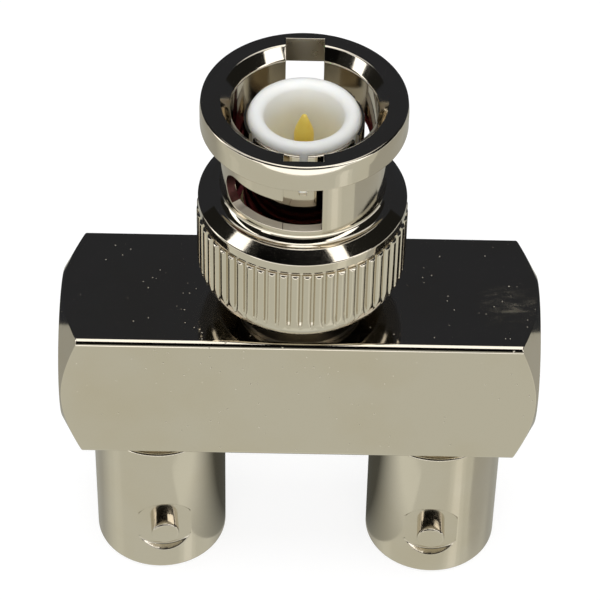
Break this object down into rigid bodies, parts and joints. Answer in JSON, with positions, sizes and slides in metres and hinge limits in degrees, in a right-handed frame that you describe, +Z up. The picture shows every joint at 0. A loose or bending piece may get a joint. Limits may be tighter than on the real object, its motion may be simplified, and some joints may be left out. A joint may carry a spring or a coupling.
{
  "type": "bnc t connector",
  "caption": "Coaxial splitter block: bayonet plug with turning knurled nut on top of a square bar, jacks with bayonet studs on its underside.",
  "frame": {"origin": "centre of the part's footprint, on the plane of the two jacks' mouths, below the plug's axis", "axes": "+Z up along the plug's axis, out of its mouth; +X along the bar towards its pressed end plug; -Y towards the side the picture shows"},
  "size_m": [0.0338, 0.0144, 0.0426],
  "materials": {
    "nickel_plate": "brass with a bright, polished nickel plate",
    "gold_plate": "brass or bronze with a thin gold plate",
    "bare_brass": "bare turned brass",
    "white_dielectric": "white moulded insulator, slightly translucent",
    "red_silicone": "dark red silicone rubber",
    "spring_steel": "plain spring steel"
  },
  "bodies": {
    "root": {"bar_body": "nickel_plate", "end_plug": "nickel_plate", "cross_conductor": "bare_brass", "left_sleeve": "white_dielectric", "right_sleeve": "white_dielectric", "plug_tube": "nickel_plate", "outer_contact": "nickel_plate", "plug_insulator": "white_dielectric", "centre_pin": "gold_plate", "gasket": "red_silicone", "wave_spring": "spring_steel", "retaining_ring": "spring_steel", "left_jack_shell": "nickel_plate", "left_jack_insulator": "white_dielectric", "left_jack_socket": "gold_plate", "left_front_stud": "nickel_plate", "left_back_stud": "nickel_plate", "right_jack_shell": "nickel_plate", "right_jack_insulator": "white_dielectric", "right_jack_socket": "gold_plate", "right_front_stud": "nickel_plate", "right_back_stud": "nickel_plate"},
    "washer": {"thrust_washer": "nickel_plate"},
    "nut": {"coupling_nut": "nickel_plate"}
  },
  "joints": [
    {"name": "nut_slide", "type": "slide", "parent": "root", "child": "washer", "axis": [0, 0, 1], "range_m": [0, 0.0008], "stiffness_N_per_m": 3000, "deforming": ["wave_spring"]},
    {"name": "nut_turn", "type": "hinge", "parent": "washer", "child": "nut", "pos_m": [0, 0, 0.0345], "axis": [0, 0, 1], "continuous": true}
  ]
}
